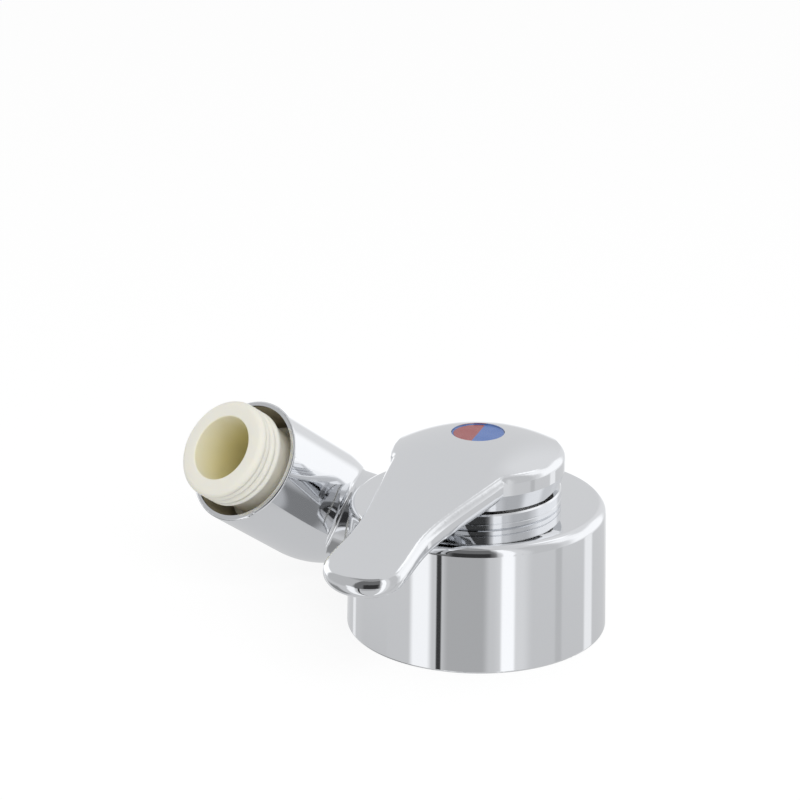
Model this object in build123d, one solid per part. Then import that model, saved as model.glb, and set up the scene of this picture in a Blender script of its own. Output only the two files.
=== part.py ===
from build123d import *
import math
import os

# Low single-lever mixer with a side elbow outlet, in millimetres.
# The origin is the centre of the base on the body's axis. +Z is up, and +X is the
# way the outlet faces in plan. The elbow stands on the body's -Y side.

# How far a cutting solid runs past the face that it cuts
past = 1.0

# Body casting
body_height = 26.3
foot_radius = 26.4
top_radius = 25.9
top_edge_radius = 2.0
foot_edge_radius = 0.4
collar_neck_radius = 15.6
collar_neck_height = 1.7

# Outlet elbow and the fold axis it turns on
fold_axis_height = 12.5
elbow_offset = 43.0
outlet_elevation = 36.1
neck_radius = 10.7
neck_boss_length = 0.4
washer_thickness = 0.5
cup_radius = 13.1
cup_wall = 1.05
cup_reach = 29.9
cup_straight_length = 22.5
cup_heel_length = 21.9
cup_heel_nose_radius = 8.6
cup_depth = 14.0
cup_lip_radius = 0.45
elbow_waterway_radius = 5.0
neck_fillet = 1.0

# Spigot of the elbow in the body's socket
spigot_radius = 7.95
spigot_clearance = 0.06
spigot_length = 9.4
socket_end_gap = 3.2
ring_section_radius = 0.8
ring_groove_width = 2.0
ring_groove_depth = 1.6
outer_ring_distance = 1.9
inner_ring_distance = 7.8
stop_groove_distance = 4.9
stop_groove_width = 2.2
stop_groove_depth = 1.1
stop_screw_radius = 1.5
stop_screw_tip_radius = 0.8
stop_screw_tip_length = 1.3
stop_screw_sink = 0.6
stop_tip_gap = 0.2
stop_screw_key_radius = 1.15
stop_screw_key_depth = 1.5
washer_margin = 0.3
riser_radius = 1.44
thread_clearance = 0.06

# Outlet nipple with its G 1/2 thread
nipple_thread_radius = 10.48
nipple_thread_length = 6.6
nipple_projection = 7.5
nipple_bore_radius = 6.85
nipple_bore_depth = 20.0
nipple_barrel_radius = 9.3
nipple_flange_radius = 11.2
nipple_flange_height = 2.4
nipple_tail_radius = 8.3
nipple_tail_length = 6.5
nipple_tail_gap = 0.5
nipple_edge_radius = 0.9
nipple_seal_thickness = 1.0
nipple_seal_margin = 0.4
nipple_waterway_radius = 5.4

# Water inlets, fixing stud and base ring
inlet_thread_radius = 3.46
inlet_thread_depth = 5.0
port_circle_radius = 6.0
port_radius = 2.0
outlet_port_angle = 270.0
stud_offset = 19.0
stud_hole_radius = 3.4
stud_hole_depth = 12.0
gasket_inner_radius = 24.2
gasket_width = 1.4
gasket_depth = 1.4
seal_side_gap = 0.05

# Cartridge, from its floor in the body up to the spindle
chamber_floor = 6.0
cartridge_radius = 12.5
cartridge_clearance = 0.08
cartridge_top_drop = 2.3
cartridge_base_thickness = 2.0
port_seal_depth = 0.8
port_seal_wall = 0.9
disc_radius = 9.5
disc_port_radius = 1.8
fixed_disc_thickness = 2.0
moving_disc_radius = 7.2
moving_disc_thickness = 1.8
mixing_pocket_radius = 4.3
carrier_thickness = 2.0
carrier_half_width = 5.6
carrier_guide_gap = 0.1
housing_wall = 1.9
rotor_radius = 9.3
rotor_clearance = 0.08
rotor_neck_radius = 8.5
rotor_rise = 3.1
rotor_floor_gap = 0.2
rotor_shoulder_gap = 0.3
housing_ring_groove_depth = 1.36
housing_ring_groove_width = 1.6
housing_ring_section = 0.65
nut_opening_gap = 0.4
nut_radius = 13.8
nut_height = 3.6
nut_slot_width = 3.0
nut_slot_depth = 1.4
nut_slot_count = 6

# Spindle, pivot pin and lift
lift_angle = 16.0
pin_radius = 1.5
pin_length = 16.0
pin_clearance = 0.04
spindle_side = 6.0
spindle_slot_clearance = 0.3
spindle_tilt_gap = 0.3
spindle_ball_radius = 1.5
spindle_ball_drop = 3.6
ball_seat_height = 1.6
spindle_ball_neck_radius = 1.1
ball_socket_clearance = 0.3

# Cover ring under the handle
ring_radius = 16.85
ring_height = 3.2
ring_top_chamfer = 0.3
ring_opening_radius = 12.6
ring_roof_gap = 0.1
ring_line_drop = 2.0
ring_line_width = 0.3
ring_line_depth = 0.2
ring_foot_chamfer = 0.25

# Handle cap and skirt
handle_radius = 17.5
skirt_gap = 0.6
skirt_taper_height = 3.3
cap_wall_height = 3.6
cap_rise = 4.1
cap_top_thickness = 2.0
handle_top_edge_radius = 1.9
skirt_bottom_radius = 16.5
skirt_wall = 1.2
relief_rise = 1.8
relief_start = 2.5
relief_end = -5.5
handle_boss_radius = 6.0
boss_rise = 0.9
spindle_socket_depth = 4.6
socket_clearance = 0.05
socket_top_gap = 0.2

# Lever, measured along its length from the cap's axis
lever_rest_angle = 13.0
lever_slope = 17.6
lever_root_distance = 10.5
lever_root_side_step = 4.4
lever_mid_distance = 24.0
lever_mid_half_width = 9.7
lever_waist_distance = 34.0
lever_waist_half_width = 7.9
lever_bulb_distance = 43.3
lever_bulb_half_width = 8.4
lever_tip_length = 6.7
lever_side_lead_in = 0.22
lever_corner_radius = 2.0
lever_arm_setback = 5.0
lever_underside_start = 16.0
lever_root_thickness = 6.0
lever_underside_slope = 14.0
lever_bottom_edge_radius = 2.2
lever_bottom_edge_share = 0.85

# Handle screw and its two-colour cover
screw_radius = 2.0
screw_head_radius = 3.5
screw_head_height = 1.9
screw_length = 8.0
screw_end_gap = 0.5
screw_head_edge_radius = 0.8
screw_key_radius = 1.6
screw_key_depth = 1.1
screw_hole_clearance = 0.2
handle_web_thickness = 1.2
plug_radius = 5.3
plug_clearance = 0.05
plug_thickness = 1.3
plug_sink = 0.65
inlay_depth = 0.5
inlay_margin = 0.35
inlay_gap = 0.03
split_angle = 12.7

# Places worked out from the sizes above
fold_centre = Vector(0, -elbow_offset, fold_axis_height)
boss_face = foot_radius + neck_boss_length
neck_face = boss_face + washer_thickness
socket_radius = spigot_radius + spigot_clearance
socket_depth = spigot_length - washer_thickness + socket_end_gap
chamber_radius = cartridge_radius + cartridge_clearance
neck_top = body_height + collar_neck_height
cartridge_top = body_height - cartridge_top_drop
rotor_top = cartridge_top + rotor_rise
nut_top = cartridge_top + nut_height
ring_top = body_height + ring_height
ring_groove_height = ring_top - ring_line_drop
fixed_disc_bottom = chamber_floor + cartridge_base_thickness
moving_disc_bottom = fixed_disc_bottom + fixed_disc_thickness
carrier_bottom = moving_disc_bottom + moving_disc_thickness
carrier_top = carrier_bottom + carrier_thickness
rotor_bottom = carrier_top + rotor_floor_gap
pivot_height = carrier_bottom + ball_seat_height + spindle_ball_drop
housing_ring_height = (cartridge_top + rotor_bottom) / 2
skirt_bottom = ring_top + skirt_gap
skirt_knee_height = skirt_bottom + skirt_taper_height
handle_rim_height = skirt_knee_height + cap_wall_height
handle_crown_height = handle_rim_height + cap_rise
handle_ceiling = handle_rim_height - cap_top_thickness
handle_boss_bottom = skirt_bottom + boss_rise
spindle_top = handle_boss_bottom + spindle_socket_depth
relief_height = skirt_bottom + relief_rise
lever_underside_root = handle_rim_height - lever_root_thickness
lever_reach = lever_bulb_distance + lever_tip_length
lever_root_half_width = handle_radius - lever_root_side_step
lever_arm_start = handle_radius - lever_arm_setback
plug_top = handle_crown_height - plug_sink
plug_bottom = plug_top - plug_thickness
handle_socket_top = spindle_top + socket_top_gap
screw_seat = handle_socket_top + handle_web_thickness
dome_radius = (handle_radius ** 2 + (handle_crown_height - handle_rim_height) ** 2) / (
    2 * (handle_crown_height - handle_rim_height)
)
dome_centre_height = handle_crown_height - dome_radius


def rod(radius, bottom, top, x=0.0, y=0.0):
    """Upright cylinder between two heights."""
    return Pos(x, y, bottom) * Cylinder(radius, top - bottom, align=(Align.CENTER, Align.CENTER, Align.MIN))


def tube(outer, inner, bottom, top, x=0.0, y=0.0):
    """Upright ring between two heights."""
    return rod(outer, bottom, top, x, y) - rod(inner, bottom - past, top + past, x, y)


def spin(points):
    """Solid turned about the Z axis from (radius, height) points."""
    return revolve(Plane.XZ * make_face(Polyline(*points, close=True)), Axis.Z)


def side_rod(radius, near, far):
    """Cylinder along the fold axis, between two distances from the body's axis."""
    place = Plane(origin=(0, -near, fold_axis_height), x_dir=(1, 0, 0), z_dir=(0, -1, 0))
    return place * Cylinder(radius, far - near, align=(Align.CENTER, Align.CENTER, Align.MIN))


def port_place(angle):
    """Centre of a water port on the port circle."""
    turn = math.radians(angle)
    return port_circle_radius * math.cos(turn), port_circle_radius * math.sin(turn)


inlet_angles = (outlet_port_angle + 120.0, outlet_port_angle - 120.0)
port_angles = (outlet_port_angle,) + inlet_angles
stop_screw_y = -(boss_face - stop_groove_distance)


def make_body():
    """Body casting: drafted drum, neck for the cover ring, boss and socket for the elbow."""
    drum = loft([Circle(foot_radius), Pos(0, 0, body_height) * Circle(top_radius)])
    drum = fillet(drum.edges().sort_by(Axis.Z)[-1], top_edge_radius)
    drum = fillet(drum.edges().sort_by(Axis.Z)[0], foot_edge_radius)
    body = drum + rod(collar_neck_radius, cartridge_top, neck_top)
    body += side_rod(neck_radius, foot_radius / 2, boss_face)
    body -= rod(chamber_radius, chamber_floor, neck_top + past)
    body -= rod(nut_radius + thread_clearance, cartridge_top, neck_top + past)
    body -= side_rod(socket_radius, boss_face - socket_depth, boss_face + past)

    for angle in inlet_angles:
        x, y = port_place(angle)
        body -= rod(inlet_thread_radius, -past, inlet_thread_depth, x, y)
        body -= rod(port_radius, 0, chamber_floor + past, x, y)

    # Outlet way: down from its port, across under the chamber, up behind the spigot
    x, y = port_place(outlet_port_angle)
    cross_height = inlet_thread_depth - port_radius
    riser_y = -(boss_face - socket_depth + socket_end_gap / 2)
    body -= rod(port_radius, cross_height, chamber_floor + past, x, y)
    cross = Plane(origin=(0, y, cross_height), x_dir=(1, 0, 0), z_dir=(0, -1, 0))
    body -= cross * Cylinder(disc_port_radius, y - riser_y, align=(Align.CENTER, Align.CENTER, Align.MIN))
    body -= rod(riser_radius, cross_height, fold_axis_height, 0, riser_y)

    body -= rod(stud_hole_radius, -past, stud_hole_depth, -stud_offset, 0)
    body -= rod(stop_screw_radius + thread_clearance, -past, fold_axis_height, 0, stop_screw_y)
    body -= tube(gasket_inner_radius + gasket_width, gasket_inner_radius, -past, gasket_depth)
    return body


def make_base_gasket():
    """Rubber ring in the groove of the base."""
    outer = gasket_inner_radius + gasket_width - seal_side_gap
    return tube(outer, gasket_inner_radius + seal_side_gap, 0, gasket_depth)


def make_stop_screw():
    """Headless screw from below, whose tip rides in the spigot's groove."""
    groove_floor = fold_axis_height - spigot_radius + stop_groove_depth
    tip = groove_floor - stop_tip_gap
    screw = rod(stop_screw_radius, stop_screw_sink, tip - stop_screw_tip_length, 0, stop_screw_y)
    screw += rod(stop_screw_tip_radius, stop_screw_sink, tip, 0, stop_screw_y)
    key = extrude(RegularPolygon(stop_screw_key_radius, 6), stop_screw_key_depth)
    return screw - Pos(0, stop_screw_y, stop_screw_sink) * key


def cup_place(solid):
    """Puts a solid made along +Z from the fold centre onto the outlet's axis."""
    return Pos(fold_centre) * Rot(0, 90 - outlet_elevation, 0) * solid


def spigot_groove(distance, width, depth):
    """Ring cut out of the spigot, at a distance inside the boss's face."""
    middle = boss_face - distance
    outside = side_rod(socket_radius + past, middle - width / 2, middle + width / 2)
    return outside - side_rod(spigot_radius - depth, middle - width, middle + width)


def make_elbow():
    """Outlet elbow: cup with a rounded heel, side neck and grooved spigot, cast in one."""
    # The heel's profile is a long arc off the straight wall and a round nose on the axis
    heel_start = cup_reach - cup_straight_length
    heel_end = heel_start - cup_heel_length
    nose_shift = cup_heel_length - cup_heel_nose_radius
    flank_radius = (cup_radius ** 2 + nose_shift ** 2 - cup_heel_nose_radius ** 2) / (
        2 * (cup_radius - cup_heel_nose_radius)
    )
    stretch = cup_heel_nose_radius / (flank_radius - cup_heel_nose_radius)
    meet = ((flank_radius - cup_radius) * stretch, heel_start - nose_shift * (1 + stretch))
    outline = Polyline((0, heel_end), (0, cup_reach), (cup_radius, cup_reach), (cup_radius, heel_start))
    flank = TangentArc((cup_radius, heel_start), meet, tangent=(0, -1))
    nose = TangentArc(meet, (0, heel_end), tangent=flank % 1)
    cup = revolve(Plane.XZ * make_face([*outline.edges(), *flank.edges(), *nose.edges()]), Axis.Z)
    cup = fillet(cup.edges().sort_by(Axis.Z)[-1], cup_lip_radius)
    cup = cup_place(cup)

    neck = side_rod(neck_radius, neck_face, elbow_offset)
    elbow = cup + neck
    turned_edges = (GeomType.CIRCLE, GeomType.LINE, GeomType.ELLIPSE)
    seam = [e for e in elbow.edges() if e.geom_type not in turned_edges]
    elbow = fillet(seam, neck_fillet)

    spigot_end = neck_face - spigot_length
    elbow += side_rod(spigot_radius, spigot_end, neck_face + past)
    elbow -= spigot_groove(outer_ring_distance, ring_groove_width, ring_groove_depth)
    elbow -= spigot_groove(inner_ring_distance, ring_groove_width, ring_groove_depth)
    elbow -= spigot_groove(stop_groove_distance, stop_groove_width, stop_groove_depth)

    floor = cup_reach - cup_depth
    elbow -= cup_place(rod(cup_radius - cup_wall, floor, cup_reach + past))
    tail_end = floor - nipple_tail_length - nipple_tail_gap
    elbow -= cup_place(rod(nipple_tail_radius + thread_clearance, tail_end, floor + past))
    elbow -= cup_place(rod(elbow_waterway_radius, 0, floor))
    elbow -= side_rod(elbow_waterway_radius, spigot_end - past, elbow_offset)
    elbow -= Pos(fold_centre) * Sphere(elbow_waterway_radius)
    return elbow


def make_ring(distance):
    """Rubber ring in one of the spigot's grooves."""
    ring = Torus((spigot_radius - ring_groove_depth + socket_radius) / 2, ring_section_radius)
    return Plane(origin=(0, -(boss_face - distance), fold_axis_height), z_dir=(0, -1, 0)) * ring


def make_swivel_washer():
    """Nylon thrust washer between the body's boss and the elbow's neck."""
    hole = side_rod(socket_radius, boss_face - past, neck_face + past)
    return side_rod(neck_radius - washer_margin, boss_face, neck_face) - hole


def make_nipple():
    """Plastic nipple screwed into the elbow, with the outlet's male thread outside."""
    floor = cup_reach - cup_depth + nipple_seal_thickness
    face = cup_reach + nipple_projection
    nipple = rod(nipple_tail_radius, floor - nipple_seal_thickness - nipple_tail_length, floor)
    nipple += rod(nipple_flange_radius, floor, floor + nipple_flange_height)
    nipple += rod(nipple_barrel_radius, floor, face)
    thread = rod(nipple_thread_radius, face - nipple_thread_length, face)
    thread = fillet(thread.edges().filter_by(GeomType.CIRCLE).sort_by(Axis.Z)[-1], nipple_edge_radius)
    thread = chamfer(thread.edges().filter_by(GeomType.CIRCLE).sort_by(Axis.Z)[0], nipple_edge_radius / 2)
    nipple += thread
    nipple -= rod(nipple_bore_radius, face - nipple_bore_depth, face + past)
    nipple -= rod(nipple_waterway_radius, 0, face)
    return cup_place(nipple)


def make_nipple_seal():
    """Flat rubber seal under the nipple's flange."""
    floor = cup_reach - cup_depth
    outer = nipple_flange_radius - nipple_seal_margin
    inner = nipple_tail_radius + thread_clearance
    return cup_place(tube(outer, inner, floor, floor + nipple_seal_thickness))


def make_cover_ring():
    """Chromed ring screwed over the body's neck, with a fine line round its wall."""
    low = ring_groove_height - ring_line_width / 2
    high = ring_groove_height + ring_line_width / 2
    inner = collar_neck_radius + thread_clearance
    roof = neck_top + ring_roof_gap
    return spin([
        (inner, body_height),
        (ring_radius - ring_foot_chamfer, body_height),
        (ring_radius, body_height + ring_foot_chamfer),
        (ring_radius, low),
        (ring_radius - ring_line_depth, ring_groove_height),
        (ring_radius, high),
        (ring_radius, ring_top - ring_top_chamfer),
        (ring_radius - ring_top_chamfer, ring_top),
        (ring_opening_radius, ring_top),
        (ring_opening_radius, roof),
        (inner, roof),
    ])


def make_cartridge_nut():
    """Brass nut that clamps the cartridge, slotted for a pin spanner."""
    nut = tube(nut_radius, rotor_neck_radius + nut_opening_gap, cartridge_top, nut_top)
    slot = Pos(0, 0, nut_top) * Box(nut_radius * 2 + past, nut_slot_width, nut_slot_depth * 2)
    for number in range(nut_slot_count // 2):
        nut -= Rot(0, 0, number * 360 / nut_slot_count) * slot
    return nut


def make_cartridge_base():
    """Lower plate of the cartridge, with three ports and pockets for their seals."""
    plate = rod(cartridge_radius, chamber_floor, fixed_disc_bottom)
    seal_top = chamber_floor + port_seal_depth
    for angle in port_angles:
        x, y = port_place(angle)
        plate -= rod(port_radius, chamber_floor - past, fixed_disc_bottom + past, x, y)
        plate -= rod(port_radius + port_seal_wall, chamber_floor - past, seal_top, x, y)
    return plate


def make_port_seals():
    """Three rubber seals between the cartridge and the body."""
    seals = []
    for angle in port_angles:
        x, y = port_place(angle)
        top = chamber_floor + port_seal_depth
        outer = port_radius + port_seal_wall - seal_side_gap
        seals.append(tube(outer, port_radius, chamber_floor, top, x, y))
    return Compound(children=[s.solid() for s in seals])


def make_fixed_disc():
    """Lower ceramic disc, with the three ports."""
    disc = rod(disc_radius, fixed_disc_bottom, moving_disc_bottom)
    for angle in port_angles:
        x, y = port_place(angle)
        disc -= rod(disc_port_radius, fixed_disc_bottom - past, moving_disc_bottom + past, x, y)
    return disc


def make_moving_disc():
    """Upper ceramic disc, with the mixing pocket in its underside."""
    disc = rod(moving_disc_radius, moving_disc_bottom, carrier_bottom)
    pocket_top = (moving_disc_bottom + carrier_bottom) / 2
    return disc - rod(mixing_pocket_radius, moving_disc_bottom - past, pocket_top)


def make_carrier():
    """Carrier that the spindle's ball pushes, with flats that slide in the rotor."""
    block = rod(moving_disc_radius, carrier_bottom, carrier_top)
    block &= Box(moving_disc_radius * 2, carrier_half_width * 2, carrier_top * 4)
    ball_room = spindle_ball_radius + ball_socket_clearance
    return block - rod(ball_room, pivot_height - spindle_ball_drop - ball_room, carrier_top + past)


def make_housing():
    """Cartridge housing: a plastic can, open at the top for the rotor."""
    housing = rod(cartridge_radius, fixed_disc_bottom, cartridge_top)
    housing -= rod(cartridge_radius - housing_wall, fixed_disc_bottom - past, carrier_top)
    housing -= rod(rotor_radius + rotor_clearance, fixed_disc_bottom, cartridge_top + past)
    low = housing_ring_height - housing_ring_groove_width / 2
    high = housing_ring_height + housing_ring_groove_width / 2
    return housing - tube(cartridge_radius + past, cartridge_radius - housing_ring_groove_depth, low, high)


def make_housing_ring():
    """Rubber ring round the cartridge housing."""
    ring = Torus(cartridge_radius - housing_ring_section, housing_ring_section)
    return Pos(0, 0, housing_ring_height) * ring


def turn_with_lever(solid):
    """Turns a solid made along +X to the lever's rest direction."""
    return Rot(0, 0, lever_rest_angle) * solid


def make_rotor():
    """Rotor of the cartridge: turns the carrier and holds the spindle's pivot pin."""
    rotor = rod(rotor_radius, rotor_bottom, cartridge_top - rotor_shoulder_gap)
    rotor += rod(rotor_neck_radius, rotor_bottom, rotor_top)
    cheek = rod(rotor_radius, carrier_bottom, rotor_bottom)
    guide_width = 2 * (carrier_half_width + carrier_guide_gap)
    rotor += cheek - Pos(0, 0, carrier_bottom) * Box(4 * rotor_radius, guide_width, 4 * carrier_thickness)

    half = spindle_side / 2 + spindle_slot_clearance
    lift = math.radians(lift_angle)
    reach = spindle_top - pivot_height
    back = half + (rotor_top - pivot_height) * math.tan(lift) + spindle_tilt_gap
    ahead = half + spindle_ball_drop * math.tan(lift) + spindle_tilt_gap
    upper = Pos((half - back) / 2, 0, pivot_height) * Box(
        half + back, 2 * half, reach, align=(Align.CENTER, Align.CENTER, Align.MIN)
    )
    lower = Pos((ahead - half) / 2, 0, pivot_height) * Box(
        half + ahead, 2 * half, reach, align=(Align.CENTER, Align.CENTER, Align.MAX)
    )
    rotor -= upper + lower
    rotor -= Pos(0, 0, pivot_height) * Rot(90, 0, 0) * Cylinder(pin_radius, 4 * rotor_radius)
    return turn_with_lever(rotor)


def make_pin():
    """Steel pivot pin across the rotor."""
    return turn_with_lever(Pos(0, 0, pivot_height) * Rot(90, 0, 0) * Cylinder(pin_radius, pin_length))


def make_spindle():
    """Square steel spindle that the handle sits on, with a ball end below."""
    ball_height = pivot_height - spindle_ball_drop
    spindle = Pos(0, 0, ball_height + spindle_ball_radius) * Box(
        spindle_side,
        spindle_side,
        spindle_top - ball_height - spindle_ball_radius,
        align=(Align.CENTER, Align.CENTER, Align.MIN),
    )
    spindle += Pos(0, 0, ball_height) * Sphere(spindle_ball_radius)
    spindle += rod(spindle_ball_neck_radius, ball_height, pivot_height)
    pin_hole = Cylinder(pin_radius + pin_clearance, 2 * spindle_side)
    spindle -= Pos(0, 0, pivot_height) * Rot(90, 0, 0) * pin_hole
    screw_end = screw_seat - screw_length
    spindle -= rod(screw_radius + thread_clearance, screw_end - screw_end_gap, spindle_top + past)
    return turn_with_lever(spindle)


def handle_outline():
    """Plan of the handle: the round cap and the waisted lever with its oval tip."""
    sides = []
    for side in (1, -1):
        points = [
            (lever_root_distance, side * lever_root_half_width),
            (lever_mid_distance, side * lever_mid_half_width),
            (lever_waist_distance, side * lever_waist_half_width),
            (lever_bulb_distance, side * lever_bulb_half_width),
        ]
        sides.append(Spline(*points, tangents=[(1, -lever_side_lead_in * side), (1, 0)]))
    tip_length = lever_reach - lever_bulb_distance
    tip = EllipticalCenterArc((lever_bulb_distance, 0), tip_length, lever_bulb_half_width, -90, arc_size=180)
    root = Line((lever_root_distance, -lever_root_half_width), (lever_root_distance, lever_root_half_width))
    lever = make_face([*sides[0].edges(), *sides[1].edges(), *tip.edges(), *root.edges()])
    outline = Circle(handle_radius) + lever
    corners = [v for v in outline.vertices() if abs(math.hypot(v.X, v.Y) - handle_radius) < 0.01]
    corners = [v for v in corners if abs(v.Y) > handle_radius / 2]
    return fillet(corners, lever_corner_radius)


def handle_roof():
    """Solid under the handle's top: a sphere over the cap that runs out as a sloping cylinder."""
    reach = lever_reach + handle_radius
    back = (-dome_radius, 0)
    crown = (0, dome_radius)
    quarter = dome_radius * math.sqrt(0.5)
    outline = [
        *Polyline(back, (reach, 0), (reach, dome_radius), crown).edges(),
        *ThreePointArc(crown, (-quarter, quarter), back).edges(),
    ]
    capsule = revolve(make_face(outline), Axis.X)
    return Pos(0, 0, dome_centre_height) * Rot(0, lever_slope, 0) * capsule


def edges_between(solid, is_first, is_second):
    """Edges where a face of one kind meets a face of another kind."""
    found = []
    for edge in solid.edges():
        faces = [f for f in solid.faces() if any(edge.is_same(e) for e in f.edges())]
        tilts = [f.normal_at(f.center()).Z for f in faces]
        if any(is_first(t) for t in tilts) and any(is_second(t) for t in tilts):
            found.append(edge)
    return found


def is_wall(tilt):
    """Whether a face stands upright, from the rise of its normal."""
    return abs(tilt) < 0.05


def is_roof(tilt):
    """Whether a face looks up."""
    return tilt > 0.5


def is_underside(tilt):
    """Whether a face looks down."""
    return tilt < -0.9


def lever_bottom_radius():
    """Radius of the lever's lower edges, limited by the wall that its tip has for it."""
    slope = math.radians(lever_slope)
    tip_top = dome_centre_height + dome_radius / math.cos(slope) - lever_reach * math.tan(slope)
    drop = (lever_reach - lever_underside_start) * math.tan(math.radians(lever_underside_slope))
    wall = tip_top - (lever_underside_root - drop) - handle_top_edge_radius
    return min(lever_bottom_edge_radius, wall * lever_bottom_edge_share)


def make_handle_shell():
    """Outside of the handle: cap with its tapered skirt, and the sloping lever."""
    top = extrude(handle_outline(), handle_crown_height * 2) & handle_roof()
    rim = edges_between(top.solid(), is_wall, is_roof)
    top = fillet(rim, handle_top_edge_radius)

    drop = math.tan(math.radians(lever_underside_slope))
    start_height = lever_underside_root + (lever_underside_start - lever_arm_start) * drop
    end = lever_reach + handle_radius
    end_height = lever_underside_root - (end - lever_underside_start) * drop
    above = 2 * handle_crown_height
    side = make_face(Polyline(
        (lever_arm_start, start_height),
        (end, end_height),
        (end, above),
        (lever_arm_start, above),
        close=True,
    ))
    arm = top & extrude(Plane.XZ * side, handle_radius * 2, both=True)
    arm_bottom = edges_between(arm.solid(), is_wall, is_underside)
    long_edge = 2 * lever_arm_start
    arm_bottom = [e for e in arm_bottom if e.length > long_edge or e.center().X > lever_reach - past]
    arm = fillet(arm_bottom, lever_bottom_radius())

    skirt = spin([
        (0, skirt_bottom),
        (skirt_bottom_radius, skirt_bottom),
        (handle_radius, skirt_knee_height),
        (handle_radius, above),
        (0, above),
    ])
    return (top & skirt) + arm


def make_handle():
    """Cast handle: shell with a hollow skirt, a rear relief and a square boss inside."""
    handle = make_handle_shell()
    behind = -2 * handle_radius
    below = skirt_bottom - past
    relief = make_face(Polyline(
        (relief_start, below), (relief_start, skirt_bottom), (relief_end, relief_height),
        (behind, relief_height), (behind, below), close=True,
    ))
    handle -= extrude(Plane.XZ * relief, handle_radius * 2, both=True)
    boss = rod(handle_boss_radius, handle_boss_bottom, handle_ceiling + past)
    handle -= rod(skirt_bottom_radius - skirt_wall, below, handle_ceiling) - boss

    side = spindle_side + 2 * socket_clearance
    handle -= Pos(0, 0, handle_socket_top) * Box(
        side, side, handle_crown_height, align=(Align.CENTER, Align.CENTER, Align.MAX)
    )
    handle -= rod(screw_radius + screw_hole_clearance, spindle_top, screw_seat + past)
    handle -= rod(screw_head_radius + 2 * screw_hole_clearance, screw_seat, handle_crown_height)
    handle -= rod(plug_radius + plug_clearance, plug_bottom, handle_crown_height + past)
    return turn_with_lever(handle)


def make_screw():
    """Pan-head screw that holds the handle on the spindle."""
    screw = rod(screw_radius, screw_seat - screw_length, screw_seat + screw_head_height / 2)
    head = rod(screw_head_radius, screw_seat, screw_seat + screw_head_height)
    head = fillet(head.edges().sort_by(Axis.Z)[-1], screw_head_edge_radius)
    head_top = screw_seat + screw_head_height
    key = Pos(0, 0, head_top) * extrude(RegularPolygon(screw_key_radius, 6), -screw_key_depth)
    return turn_with_lever(screw + head - key)


def split_half(solid):
    """Half of a round solid, on the hot side of the indicator's split."""
    half = Pos(0, plug_radius * 2, plug_bottom) * Box(plug_radius * 6, plug_radius * 4, plug_thickness * 6)
    return solid & (Rot(0, 0, 180 + split_angle) * half)


def make_plug():
    """Blue cover of the screw, with a half-round pocket for the red inlay."""
    plug = rod(plug_radius, plug_bottom, plug_top)
    pocket = split_half(rod(plug_radius - inlay_margin, plug_top - inlay_depth, plug_top + past))
    return turn_with_lever(plug - pocket)


def make_inlay():
    """Red half-round inlay in the cover."""
    inlay = split_half(rod(plug_radius - inlay_margin - inlay_gap, plug_top - inlay_depth, plug_top))
    return turn_with_lever(inlay)


def main():
    nodes = {
        "mixer_body": make_body(),
        "base_gasket": make_base_gasket(),
        "outlet_stop_screw": make_stop_screw(),
        "cover_ring": make_cover_ring(),
        "cartridge_nut": make_cartridge_nut(),
        "cartridge_housing": make_housing(),
        "housing_ring": make_housing_ring(),
        "cartridge_base": make_cartridge_base(),
        "port_seals": make_port_seals(),
        "fixed_disc": make_fixed_disc(),
        "outlet_elbow": make_elbow(),
        "spigot_ring_outer": make_ring(outer_ring_distance),
        "spigot_ring_inner": make_ring(inner_ring_distance),
        "swivel_washer": make_swivel_washer(),
        "outlet_nipple": make_nipple(),
        "nipple_seal": make_nipple_seal(),
        "cartridge_rotor": make_rotor(),
        "pivot_pin": make_pin(),
        "disc_carrier": turn_with_lever(make_carrier()),
        "moving_disc": turn_with_lever(make_moving_disc()),
        "lever_spindle": make_spindle(),
        "handle": make_handle(),
        "handle_screw": make_screw(),
        "indicator_plug": make_plug(),
        "red_inlay": make_inlay(),
    }
    os.makedirs("parts", exist_ok=True)
    for name, solid in nodes.items():
        export_step(solid, f"parts/{name}.step")


main()
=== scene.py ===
import math
import bpy
from mathutils import Matrix, Vector


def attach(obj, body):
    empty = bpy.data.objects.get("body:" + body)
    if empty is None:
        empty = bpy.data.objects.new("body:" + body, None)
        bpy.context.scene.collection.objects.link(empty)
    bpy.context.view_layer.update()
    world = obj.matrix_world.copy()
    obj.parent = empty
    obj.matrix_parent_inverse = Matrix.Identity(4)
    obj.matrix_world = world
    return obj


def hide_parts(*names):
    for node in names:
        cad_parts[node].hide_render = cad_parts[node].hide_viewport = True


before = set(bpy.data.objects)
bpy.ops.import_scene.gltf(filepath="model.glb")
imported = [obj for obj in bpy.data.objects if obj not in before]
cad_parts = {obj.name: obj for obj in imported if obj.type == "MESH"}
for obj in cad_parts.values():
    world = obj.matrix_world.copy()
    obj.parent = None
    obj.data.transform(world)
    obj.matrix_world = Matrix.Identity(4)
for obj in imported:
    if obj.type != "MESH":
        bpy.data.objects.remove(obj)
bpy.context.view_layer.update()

mm = 0.001

# Mixer body: a drum of cast brass, turned, polished and plated with bright chrome. The handle,
# the cover ring and the outlet elbow have the same plating, so its material is made here.
# Polish leaves faint broad waves in the gloss and a few haze marks.
patch_detail = 4.0
grain_detail = 2.0
gloss_from = 0.38
gloss_to = 0.66
relief_height = 0.02 * mm


def feed(tree, source, socket):
    """Links an output to a socket, or sets the socket where the source is a plain value."""
    if isinstance(source, bpy.types.NodeSocket):
        tree.links.new(source, socket)
    else:
        socket.default_value = source


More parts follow.
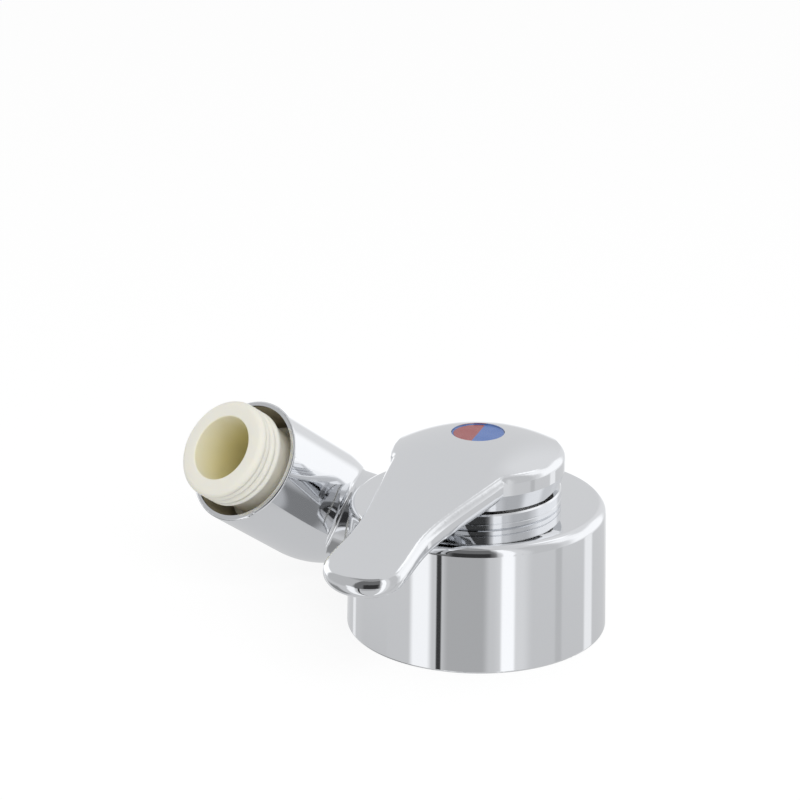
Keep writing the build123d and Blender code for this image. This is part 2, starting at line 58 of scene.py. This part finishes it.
def ramp(tree, value, start, end, low=0.0, high=1.0, smooth=False):
    """Goes from low at start to high at end, and stays level outside the two."""
    node = tree.nodes.new("ShaderNodeMapRange")
    if smooth:
        node.interpolation_type = "SMOOTHSTEP"
    feed(tree, value, node.inputs["Value"])
    feed(tree, start, node.inputs["From Min"])
    feed(tree, end, node.inputs["From Max"])
    feed(tree, low, node.inputs["To Min"])
    feed(tree, high, node.inputs["To Max"])
    return node.outputs["Result"]


def mixed(tree, share, first, second, kind="FLOAT"):
    """A share of the second value or colour over the first."""
    node = tree.nodes.new("ShaderNodeMix")
    node.data_type = kind
    feed(tree, share, node.inputs["Factor"])
    feed(tree, first, node.inputs["A"])
    feed(tree, second, node.inputs["B"])
    return node.outputs["Result"]


def noise(tree, place, scale, detail):
    """Soft patches of a given fineness all over a piece."""
    node = tree.nodes.new("ShaderNodeTexNoise")
    feed(tree, place, node.inputs["Vector"])
    feed(tree, scale, node.inputs["Scale"])
    feed(tree, detail, node.inputs["Detail"])
    return node.outputs["Fac"]


def add_sockets(group, inputs, outputs):
    """Gives a node group its named inputs and outputs."""
    for name, kind, value in inputs:
        socket = group.interface.new_socket(name=name, in_out="INPUT", socket_type=kind)
        socket.default_value = value
    for name, kind in outputs:
        group.interface.new_socket(name=name, in_out="OUTPUT", socket_type=kind)
    start = group.nodes.new("NodeGroupInput")
    end = group.nodes.new("NodeGroupOutput")
    return start.outputs, end.inputs


def make_surface_group():
    """Colour, gloss and height that wander over a surface: broad patches and fine grain."""
    group = bpy.data.node_groups.new("uneven finish", "ShaderNodeTree")
    sockets_in = [
        ("Colour", "NodeSocketColor", (0.8, 0.8, 0.8, 1.0)),
        ("Second Colour", "NodeSocketColor", (0.7, 0.7, 0.7, 1.0)),
        ("Low Roughness", "NodeSocketFloat", 0.2),
        ("High Roughness", "NodeSocketFloat", 0.3),
        ("Patch Scale", "NodeSocketFloat", 40.0),
        ("Grain Scale", "NodeSocketFloat", 900.0),
    ]
    sockets_out = [
        ("Colour", "NodeSocketColor"),
        ("Roughness", "NodeSocketFloat"),
        ("Height", "NodeSocketFloat"),
    ]
    given, made = add_sockets(group, sockets_in, sockets_out)
    place = group.nodes.new("ShaderNodeTexCoord").outputs["Object"]
    patches = noise(group, place, given["Patch Scale"], patch_detail)
    grain = noise(group, place, given["Grain Scale"], grain_detail)
    colour = mixed(group, patches, given["Colour"], given["Second Colour"], "RGBA")
    gloss = ramp(
        group, patches, gloss_from, gloss_to, given["Low Roughness"], given["High Roughness"], True
    )
    feed(group, colour, made["Colour"])
    feed(group, gloss, made["Roughness"])
    feed(group, grain, made["Height"])
    return group


uneven_finish = make_surface_group()


def finished_material(name, colours, roughness, scales, bump, metallic=0.0):
    """Material with an uneven finish. Scales are those of the patches and the grain."""
    material = bpy.data.materials.new(name)
    material.use_nodes = True
    tree = material.node_tree
    shader = tree.nodes["Principled BSDF"].inputs
    shader["Metallic"].default_value = metallic
    finish = tree.nodes.new("ShaderNodeGroup")
    finish.node_tree = uneven_finish
    finish.inputs["Colour"].default_value = (*colours[0], 1.0)
    finish.inputs["Second Colour"].default_value = (*colours[1], 1.0)
    finish.inputs["Low Roughness"].default_value = roughness[0]
    finish.inputs["High Roughness"].default_value = roughness[1]
    finish.inputs["Patch Scale"].default_value = scales[0]
    finish.inputs["Grain Scale"].default_value = scales[1]
    relief = tree.nodes.new("ShaderNodeBump")
    relief.inputs["Strength"].default_value = bump
    relief.inputs["Distance"].default_value = relief_height
    tree.links.new(finish.outputs["Colour"], shader["Base Color"])
    tree.links.new(finish.outputs["Roughness"], shader["Roughness"])
    tree.links.new(finish.outputs["Height"], relief.inputs["Height"])
    tree.links.new(relief.outputs["Normal"], shader["Normal"])
    return material


def dress(node, material):
    """Gives one of the mixer's solids its finish, in its object's own material slots."""
    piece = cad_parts[node]
    if not piece.material_slots:
        piece.data.materials.append(None)
    for place in piece.material_slots:
        place.link = "OBJECT"
        place.material = material


chrome = finished_material(
    "bright chrome plate",
    colours=((0.8, 0.81, 0.825), (0.77, 0.78, 0.8)),
    roughness=(0.035, 0.07),
    scales=(28.0, 120.0),
    bump=0.05,
    metallic=1.0,
)
dress("mixer_body", chrome)

# Base gasket: a ring of black rubber pressed into the groove of the foot.
# It seals the mixer to its deck.
black_rubber = finished_material(
    "black rubber",
    colours=((0.02, 0.02, 0.021), (0.035, 0.035, 0.036)),
    roughness=(0.55, 0.75),
    scales=(300.0, 4000.0),
    bump=0.4,
)
dress("base_gasket", black_rubber)

# Cartridge: a moulded plastic can with its base plate, its rotor and its disc carrier.
# It drops into the body's chamber in one go, with its rubber seals in their grooves.
white_plastic = finished_material(
    "white moulded plastic",
    colours=((0.74, 0.74, 0.71), (0.68, 0.68, 0.65)),
    roughness=(0.35, 0.5),
    scales=(200.0, 3000.0),
    bump=0.25,
)
for node in ("cartridge_housing", "cartridge_base", "cartridge_rotor", "disc_carrier"):
    dress(node, white_plastic)
for node in ("housing_ring", "port_seals"):
    dress(node, black_rubber)

# Ceramic discs: two ground and lapped plates that slide on each other.
# They close and mix the water.
lapped_ceramic = finished_material(
    "lapped ceramic",
    colours=((0.83, 0.82, 0.77), (0.79, 0.78, 0.73)),
    roughness=(0.12, 0.2),
    scales=(250.0, 4000.0),
    bump=0.1,
)
for node in ("fixed_disc", "moving_disc"):
    dress(node, lapped_ceramic)

# Spindle and its pivot pin: turned steel. The spindle's square end carries the handle, and its
# lower end pushes the moving disc.
turned_steel = finished_material(
    "turned steel",
    colours=((0.56, 0.56, 0.57), (0.47, 0.47, 0.48)),
    roughness=(0.24, 0.36),
    scales=(500.0, 5000.0),
    bump=0.3,
    metallic=1.0,
)
for node in ("lever_spindle", "pivot_pin"):
    dress(node, turned_steel)

# Cartridge nut: turned brass, slotted for a pin spanner. It clamps the cartridge down.
# It keeps its bare brass colour.
bare_brass = finished_material(
    "bare brass",
    colours=((0.72, 0.53, 0.26), (0.62, 0.44, 0.2)),
    roughness=(0.22, 0.38),
    scales=(400.0, 5000.0),
    bump=0.3,
    metallic=1.0,
)
dress("cartridge_nut", bare_brass)

# Cover ring: turned brass, chromed, screwed over the body's neck under the handle.
# Its wall carries one fine turned line.
dress("cover_ring", chrome)

# Outlet elbow: cast brass, polished and chromed, with the cup that holds the nipple. The inside of
# the cup is painted a dull, yellowish grey behind the bright lip: painted shade, and a painted
# reflection of the ivory nipple.
outlet_elevation = math.radians(36.1)
cup_tilt = math.pi / 2 - outlet_elevation
fold_centre = Vector((0.0, -43.0, 12.5)) * mm
cup_inside_radius = 12.12
cup_floor = 15.8
cup_lip_start = 29.35
# Inside the cup: painted shade and a painted reflection of the ivory nipple, with less metal and
# more roughness so that the colour shows.
cup_painted_shade_and_reflection = (0.6, 0.54, 0.4, 1.0)
cup_painted_reflection_metallic = 0.25
hollow_edge = 0.1
dull_roughness = 0.45
only_across = (1.0, 1.0, 0.0)


def work_out(tree, operation, first, second=None):
    """Result of one sum on one or two values."""
    node = tree.nodes.new("ShaderNodeMath")
    node.operation = operation
    feed(tree, first, node.inputs[0])
    if second is not None:
        feed(tree, second, node.inputs[1])
    return node.outputs["Value"]


# In the elbow's cup and in the nipple's bore this paints shade and reflected or glowing light into
# the colour.
def make_hollow_group():
    """A second colour, gloss and metal inside a round hollow: within a radius of its axis, from its
    bottom to its top. Towards the top it fades over a length, down to the share that is left there."""
    group = bpy.data.node_groups.new("colour inside a hollow", "ShaderNodeTree")
    sockets_in = [
        ("Colour", "NodeSocketColor", (0.8, 0.8, 0.8, 1.0)),
        ("Roughness", "NodeSocketFloat", 0.05),
        ("Metallic", "NodeSocketFloat", 1.0),
        ("Hollow Colour", "NodeSocketColor", (0.5, 0.5, 0.5, 1.0)),
        ("Hollow Roughness", "NodeSocketFloat", dull_roughness),
        ("Hollow Metallic", "NodeSocketFloat", 0.5),
        ("Centre", "NodeSocketVector", (0.0, 0.0, 0.0)),
        ("Tilt", "NodeSocketVector", (0.0, 0.0, 0.0)),
        ("Radius", "NodeSocketFloat", 0.01),
        ("Edge", "NodeSocketFloat", hollow_edge * mm),
        ("Bottom", "NodeSocketFloat", 0.0),
        ("Top", "NodeSocketFloat", 0.01),
        ("Fade", "NodeSocketFloat", hollow_edge * mm),
        ("Share at Top", "NodeSocketFloat", 0.0),
    ]
    sockets_out = [
        ("Colour", "NodeSocketColor"),
        ("Roughness", "NodeSocketFloat"),
        ("Metallic", "NodeSocketFloat"),
    ]
    given, made = add_sockets(group, sockets_in, sockets_out)
    along = group.nodes.new("ShaderNodeMapping")
    along.vector_type = "TEXTURE"
    place = group.nodes.new("ShaderNodeTexCoord").outputs["Object"]
    feed(group, place, along.inputs["Vector"])
    feed(group, given["Centre"], along.inputs["Location"])
    feed(group, given["Tilt"], along.inputs["Rotation"])
    parts = group.nodes.new("ShaderNodeSeparateXYZ")
    feed(group, along.outputs["Vector"], parts.inputs["Vector"])
    height = parts.outputs["Z"]
    across = group.nodes.new("ShaderNodeVectorMath")
    across.operation = "MULTIPLY"
    feed(group, along.outputs["Vector"], across.inputs[0])
    feed(group, only_across, across.inputs[1])
    distance = group.nodes.new("ShaderNodeVectorMath")
    distance.operation = "LENGTH"
    feed(group, across.outputs["Vector"], distance.inputs[0])

    outer_radius = work_out(group, "ADD", given["Radius"], given["Edge"])
    within = ramp(group, distance.outputs["Value"], outer_radius, given["Radius"])
    under_bottom = work_out(group, "SUBTRACT", given["Bottom"], given["Edge"])
    over = ramp(group, height, under_bottom, given["Bottom"])
    full_height = work_out(group, "SUBTRACT", given["Top"], given["Fade"])
    below = ramp(group, height, given["Top"], full_height, given["Share at Top"])
    share = work_out(group, "MULTIPLY", within, work_out(group, "MULTIPLY", over, below))
    colour = mixed(group, share, given["Colour"], given["Hollow Colour"], "RGBA")
    gloss = mixed(group, share, given["Roughness"], given["Hollow Roughness"])
    metal = mixed(group, share, given["Metallic"], given["Hollow Metallic"])
    feed(group, colour, made["Colour"])
    feed(group, gloss, made["Roughness"])
    feed(group, metal, made["Metallic"])
    return group


hollow_colouring = make_hollow_group()


def line_hollow(material, settings, targets):
    """Puts the colour inside a hollow between a material's uneven finish and its shader."""
    tree = material.node_tree
    shader = tree.nodes["Principled BSDF"].inputs
    finish = next(node for node in tree.nodes if node.type == "GROUP")
    hollow = tree.nodes.new("ShaderNodeGroup")
    hollow.node_tree = hollow_colouring
    for name, value in settings.items():
        hollow.inputs[name].default_value = value
    tree.links.new(finish.outputs["Colour"], hollow.inputs["Colour"])
    tree.links.new(finish.outputs["Roughness"], hollow.inputs["Roughness"])
    for source, target in targets:
        tree.links.new(hollow.outputs[source], shader[target])


def chrome_with_dull_hollow(name, settings):
    """Bright chrome plate that turns dull and takes another colour inside a round hollow."""
    material = chrome.copy()
    material.name = name
    targets = (("Colour", "Base Color"), ("Roughness", "Roughness"), ("Metallic", "Metallic"))
    line_hollow(material, settings, targets)
    return material


# The cup's yellowish grey inside is painted shade and a painted reflection of the nipple.
dress("outlet_elbow", chrome_with_dull_hollow("chrome with painted shade and reflection in the cup", {
    "Hollow Colour": cup_painted_shade_and_reflection,
    "Hollow Metallic": cup_painted_reflection_metallic,
    "Centre": fold_centre,
    "Tilt": (0.0, cup_tilt, 0.0),
    "Radius": cup_inside_radius * mm,
    "Bottom": cup_floor * mm,
    "Top": (cup_lip_start + hollow_edge) * mm,
}))

# Swivel of the elbow: two rubber rings round its spigot, a white plastic thrust washer, and a
# headless steel screw driven up from the foot, which holds the spigot in the body.
for node in ("spigot_ring_outer", "spigot_ring_inner"):
    dress(node, black_rubber)
dress("swivel_washer", white_plastic)
dress("outlet_stop_screw", turned_steel)

# Outlet nipple: ivory acetal, moulded, screwed into the elbow's cup on a flat rubber seal. Its
# outside thread has shallow rounded ridges that run out before the rounded rim. Its deep bore is
# painted olive yellow: painted glow of light through the plastic and painted shade, stronger deeper
# in.
nipple_face = 37.4
bore_radius = 6.85
bore_floor = 17.4
bore_mouth_radius = 0.3
bore_mouth_steps = 4
# Painted glow and painted shade of the bore, full deep inside and fading towards the mouth.
bore_painted_glow_and_shade = (0.86, 0.79, 0.45, 1.0)
bore_shade_depth = 9.0
bore_share_at_mouth = 0.35
bore_wall_margin = 0.02
bore_edge = 0.23
rim_radius = 1.25
rim_steps = 6
thread_start = 31.25
thread_run_out = 1.5
thread_pitch = 1.814
thread_crest = 10.46
thread_depth = 0.5
thread_sharpness = 1.4
thread_rows = 44
run_in_rows = 3
run_in_width = 0.3
run_in_height = 0.15
neck_radius = 9.3
neck_top = 30.8
flange_radius = 11.2
flange_bottom = 16.9
flange_top = 19.3
tail_radius = 8.3
tail_bore_radius = 5.4
tail_end = 9.4
tail_chamfer = 0.3
turned_steps = 160
sharp_edge = math.radians(42)
light_through = 0.25
light_through_colours = (1.0, 0.85, 0.5)
light_through_depth = 1.2
thread_top = nipple_face - rim_radius


def rounded(centre_r, centre_z, radius, first, last, steps):
    """Points of a quarter of a circle in a turned profile, as (radius, height)."""
    points = []
    for step in range(steps + 1):
        angle = math.radians(first + (last - first) * step / steps)
        points.append((centre_r + radius * math.cos(angle), centre_z + radius * math.sin(angle)))
    return points


def nipple_profile():
    """Turned profile of the nipple, from the tail's bore out round the thread and back."""
    rows = [
        (tail_bore_radius, tail_end),
        (tail_radius - tail_chamfer, tail_end),
        (tail_radius, tail_end + tail_chamfer),
        (tail_radius, flange_bottom),
        (flange_radius, flange_bottom),
        (flange_radius, flange_top),
        (neck_radius, flange_top),
    ]
    for step in range(run_in_rows):
        rows.append((neck_radius + run_in_width * step, neck_top + run_in_height * step))
    for step in range(thread_rows):
        rows.append((thread_crest, thread_start + (thread_top - thread_start) * step / thread_rows))
    rows += rounded(thread_crest - rim_radius, thread_top, rim_radius, 0, 90, rim_steps)
    mouth_r = bore_radius + bore_mouth_radius
    mouth_z = nipple_face - bore_mouth_radius
    rows += rounded(mouth_r, mouth_z, bore_mouth_radius, 90, 180, bore_mouth_steps)
    rows += [(bore_radius, bore_floor), (tail_bore_radius, bore_floor)]
    return rows


def ridge(angle, height):
    """How far the thread's groove cuts in at a place, with run-outs at both ends."""
    inside = min(height - thread_start, thread_top - height)
    if inside <= 0:
        return 0.0
    fade = min(1.0, inside / thread_run_out)
    turn = height / thread_pitch - angle / (2 * math.pi)
    wave = 0.5 - 0.5 * math.cos(2 * math.pi * turn)
    return thread_depth * fade * wave ** thread_sharpness


def turned_mesh(name, profile):
    """Mesh of the closed profile turned about Z, with the thread cut in its outside."""
    points = []
    for column in range(turned_steps):
        angle = 2 * math.pi * column / turned_steps
        for radius, height in profile:
            cut = ridge(angle, height) if radius > neck_radius else 0.0
            r = (radius - cut) * mm
            points.append((r * math.cos(angle), r * math.sin(angle), height * mm))
    rows = len(profile)
    faces = []
    for column in range(turned_steps):
        here = column * rows
        there = (column + 1) % turned_steps * rows
        for row in range(rows):
            after = (row + 1) % rows
            faces.append((here + row, there + row, there + after, here + after))
    mesh = bpy.data.meshes.new(name)
    mesh.from_pydata(points, [], faces)
    mesh.validate()
    mesh.shade_smooth()
    mesh.set_sharp_from_angle(angle=sharp_edge)
    return mesh


def make_ivory():
    """Ivory acetal: pale outside, with painted glow and painted shade in olive yellow in the bore,
    where little light gets out.
    """
    material = finished_material(
        "ivory acetal",
        colours=((0.88, 0.865, 0.785), (0.85, 0.83, 0.74)),
        roughness=(0.3, 0.42),
        scales=(90.0, 2500.0),
        bump=0.15,
    )
    # The bore's olive yellow is painted glow and painted shade.
    line_hollow(material, {
        "Hollow Colour": bore_painted_glow_and_shade,
        "Radius": (bore_radius + bore_wall_margin) * mm,
        "Edge": bore_edge * mm,
        "Top": (nipple_face - bore_mouth_radius) * mm,
        "Fade": (bore_shade_depth - bore_mouth_radius) * mm,
        "Share at Top": bore_share_at_mouth,
    }, (("Colour", "Base Color"),))
    shader = material.node_tree.nodes["Principled BSDF"].inputs
    shader["Subsurface Weight"].default_value = light_through
    shader["Subsurface Radius"].default_value = light_through_colours
    shader["Subsurface Scale"].default_value = light_through_depth * mm
    return material


nipple = bpy.data.objects.new("threaded_nipple", turned_mesh("threaded_nipple", nipple_profile()))
bpy.context.collection.objects.link(nipple)
nipple.matrix_world = Matrix.Translation(fold_centre) @ Matrix.Rotation(cup_tilt, 4, "Y")
nipple.data.materials.append(make_ivory())
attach(nipple, "outlet")
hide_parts("outlet_nipple")
dress("nipple_seal", black_rubber)

# Handle: cast zinc, polished by hand and chromed, cap and lever in one. A steel screw holds it down
# on the spindle. Its hollow is a darker, duller grey, with less metal.
cap_hollow_radius = 15.35
cap_hollow_bottom = 29.9
cap_hollow_top = 35.05
cap_hollow_colour = (0.5, 0.5, 0.49, 1.0)
cap_hollow_metallic = 0.5
dress("handle", chrome_with_dull_hollow("chrome with a dull hollow", {
    "Hollow Colour": cap_hollow_colour,
    "Hollow Metallic": cap_hollow_metallic,
    "Radius": cap_hollow_radius * mm,
    "Bottom": cap_hollow_bottom * mm,
    "Top": (cap_hollow_top + hollow_edge) * mm,
}))
dress("handle_screw", turned_steel)

# Indicator: a glossy blue plug over the screw, with a red half let into it.
# Both are moulded plastic, a little faded.
blue_plastic = finished_material(
    "blue moulded plastic",
    colours=((0.1, 0.2, 0.53), (0.085, 0.175, 0.48)),
    roughness=(0.25, 0.35),
    scales=(300.0, 3000.0),
    bump=0.15,
)
dress("indicator_plug", blue_plastic)
red_plastic = finished_material(
    "red moulded plastic",
    colours=((0.4, 0.1, 0.1), (0.35, 0.085, 0.09)),
    roughness=(0.25, 0.35),
    scales=(300.0, 3000.0),
    bump=0.15,
)
dress("red_inlay", red_plastic)

# Camera: a long lens on a stand, off the lever's end and on the side away from the elbow.
# It looks a little down on the cap, from where the photograph was taken.
camera_place = Vector((350.05, 312.97, 210.7)) * mm
camera_look = Vector((-0.68284, -0.65253, -0.32853))
camera_data = bpy.data.cameras.new("camera")
camera_data.sensor_width = 36.0
camera_data.lens = 112.5
camera_data.clip_start = 0.01
camera_data.clip_end = 20.0
camera = bpy.data.objects.new("camera", camera_data)
camera.location = camera_place
camera.rotation_mode = "QUATERNION"
camera.rotation_quaternion = camera_look.to_track_quat("-Z", "Y")
bpy.context.collection.objects.link(camera)
bpy.context.scene.camera = camera

# Studio: a pale table and a white backdrop in a room that is dark behind the camera, with soft
# boxes at both sides. The chrome mirrors it, and everything else gets its even light.
# Sides count in degrees round from the camera and heights in degrees above the table's level.
studio_front = math.radians(43.7)
table_light = 0.66
room_light = 0.75
plain_light = 0.82
table_to_room = (-26, -14)
backdrop_light = 1.2
backdrop_sides = (152, 166)
backdrop_heights = (-21, 1)
backdrop_soft_edge = 4.0
mirrored_colour = (0.985, 0.99, 1.0, 1.0)
pale_grey = (0.8, 0.8, 0.8, 1.0)
# Each panel has its sides, its heights, its soft edge and its strength.
studio_panels = [
    ("left room", (-115, -44), (-16, 66), 6.0, 0.56),
    ("ceiling", (-125, 22), (64, 100), 8.0, 0.34),
    ("dark room", (-45, 17), (-16, 64), 4.0, 0.17),
    ("darkest corner", (-24, 11), (-15, 24), 3.0, 0.04),
    ("right room", (36, 74), (-17, 60), 6.0, 0.64),
    ("left soft box", (-151, -116), (-9, 31), 3.0, 1.3),
    ("right rear", (80, 160), (-16, 62), 8.0, 0.86),
    ("right soft box", (88, 141), (-14, 30), 6.0, 1.2),
    ("upper soft box", (80, 112), (24, 50), 6.0, 1.15),
    ("high soft box", (106, 126), (46, 66), 5.0, 1.3),
    ("shade under the elbow", (-124, -86), (-62, -27), 5.0, 0.3),
    ("left strip light", (-61, -43), (-80, -9), 3.0, 1.14),
    ("right strip glow", (18, 44), (-80, 62), 6.0, 0.82),
    ("right strip light", (20, 32), (-80, 62), 1.5, 1.22),
    ("near edge of the table", (-30, 7), (-27, -16), 4.0, 0.48),
    ("window frame", (72, 79), (-80, -14), 1.5, 0.58),
    ("window", (109, 122), (-44, -14), 2.0, 1.02),
    ("left window", (-144, -137), (-44, -14), 1.5, 0.98),
    ("dark stand", (-37, -32.5), (-80, -12), 0.8, 0.05),
]
world = bpy.data.worlds.new("studio")
bpy.context.scene.world = world
world.use_nodes = True
studio = world.node_tree
studio.nodes.clear()


def angle_step(value, low, high):
    """Smooth rise from 0 to 1 between two angles in degrees."""
    return ramp(studio, value, math.radians(low), math.radians(high), smooth=True)


def angle_band(value, limits, soft):
    """1 between two angles in degrees, 0 outside, with soft edges."""
    rise = angle_step(value, limits[0] - soft, limits[0] + soft)
    fall = angle_step(value, limits[1] - soft, limits[1] + soft)
    return work_out(studio, "SUBTRACT", rise, fall)


def light_all_round(colour, strength):
    """Light from all sides, even or with the studio's panels in it."""
    node = studio.nodes.new("ShaderNodeBackground")
    feed(studio, colour, node.inputs["Color"])
    feed(studio, strength, node.inputs["Strength"])
    return node.outputs["Background"]


def seen_by(tree, ray, otherwise, shown):
    """Shows one light to a kind of ray and another to all the rest."""
    node = tree.nodes.new("ShaderNodeMixShader")
    feed(tree, ray, node.inputs["Fac"])
    feed(tree, otherwise, node.inputs[1])
    feed(tree, shown, node.inputs[2])
    return node.outputs["Shader"]


direction = studio.nodes.new("ShaderNodeTexCoord").outputs["Generated"]
turned = studio.nodes.new("ShaderNodeVectorRotate")
turned.rotation_type = "Z_AXIS"
turned.inputs["Angle"].default_value = -studio_front
studio.links.new(direction, turned.inputs["Vector"])
split = studio.nodes.new("ShaderNodeSeparateXYZ")
studio.links.new(turned.outputs["Vector"], split.inputs["Vector"])
around = work_out(studio, "ARCTAN2", split.outputs["Y"], split.outputs["X"])
above = work_out(studio, "ARCSINE", split.outputs["Z"])

table_end, room_start = (math.radians(angle) for angle in table_to_room)
mirrored = ramp(studio, above, table_end, room_start, table_light, room_light, smooth=True)
behind = angle_step(work_out(studio, "ABSOLUTE", around), *backdrop_sides)
low_down = angle_band(above, backdrop_heights, backdrop_soft_edge)
backdrop = work_out(studio, "MULTIPLY", behind, low_down)
mirrored = mixed(studio, backdrop, mirrored, backdrop_light)
for name, sides, heights, soft, strength in studio_panels:
    width = angle_band(around, sides, soft)
    tallness = angle_band(above, heights, soft)
    panel = work_out(studio, "MULTIPLY", width, tallness)
    mirrored = mixed(studio, panel, mirrored, strength)
    mirrored.node.label = name

rays = studio.nodes.new("ShaderNodeLightPath").outputs
plain = light_all_round(pale_grey, plain_light)
mirror_image = light_all_round(mirrored_colour, mirrored)
room = seen_by(studio, rays["Is Glossy Ray"], plain, mirror_image)
shown = seen_by(studio, rays["Is Camera Ray"], room, light_all_round(pale_grey, 1.0))
output = studio.nodes.new("ShaderNodeOutputWorld")
studio.links.new(shown, output.inputs["Surface"])

# Lamp: one large soft lamp above and to the right, which shapes the plastic and the shadow.
# The chrome doesn't mirror it, because the studio has its own strip lights.
lamp_data = bpy.data.lights.new("soft lamp", "AREA")
lamp_data.size = 0.5
lamp_data.energy = 2.4
lamp = bpy.data.objects.new("soft lamp", lamp_data)
lamp.location = (0.3, 0.5, 0.55)
lamp.rotation_mode = "QUATERNION"
lamp.rotation_quaternion = (-lamp.location).to_track_quat("-Z", "Y")
lamp.visible_glossy = False
bpy.context.collection.objects.link(lamp)

# Floor: a plain white table top that the mixer stands on. The camera sees it nearly white, and it
# keeps a faint shadow. The chrome mirrors the studio's own table instead.
table_half = 4.0
table_drop = 0.05
table_colour = (0.9, 0.9, 0.9, 1.0)
table_glow = 1.07
glow_share = 0.8
corners = [
    (-table_half, -table_half, 0),
    (table_half, -table_half, 0),
    (table_half, table_half, 0),
    (-table_half, table_half, 0),
]
floor_mesh = bpy.data.meshes.new("floor")
floor_mesh.from_pydata(corners, [], [(0, 1, 2, 3)])
floor = bpy.data.objects.new("floor", floor_mesh)
floor.location.z = -table_drop * mm
floor.visible_glossy = False
bpy.context.collection.objects.link(floor)
paper = bpy.data.materials.new("white table top")
paper.use_nodes = True
table_top = paper.node_tree
table_top.nodes.clear()
matt = table_top.nodes.new("ShaderNodeBsdfDiffuse")
matt.inputs["Color"].default_value = table_colour
glow = table_top.nodes.new("ShaderNodeEmission")
glow.inputs["Strength"].default_value = table_glow
to_camera = table_top.nodes.new("ShaderNodeLightPath").outputs["Is Camera Ray"]
share = work_out(table_top, "MULTIPLY", to_camera, glow_share)
look = seen_by(table_top, share, matt.outputs["BSDF"], glow.outputs["Emission"])
output = table_top.nodes.new("ShaderNodeOutputMaterial")
table_top.links.new(look, output.inputs["Surface"])
floor_mesh.materials.append(paper)

# Picture: colours show as they are, with no film look.
bpy.context.scene.view_settings.view_transform = "Standard"
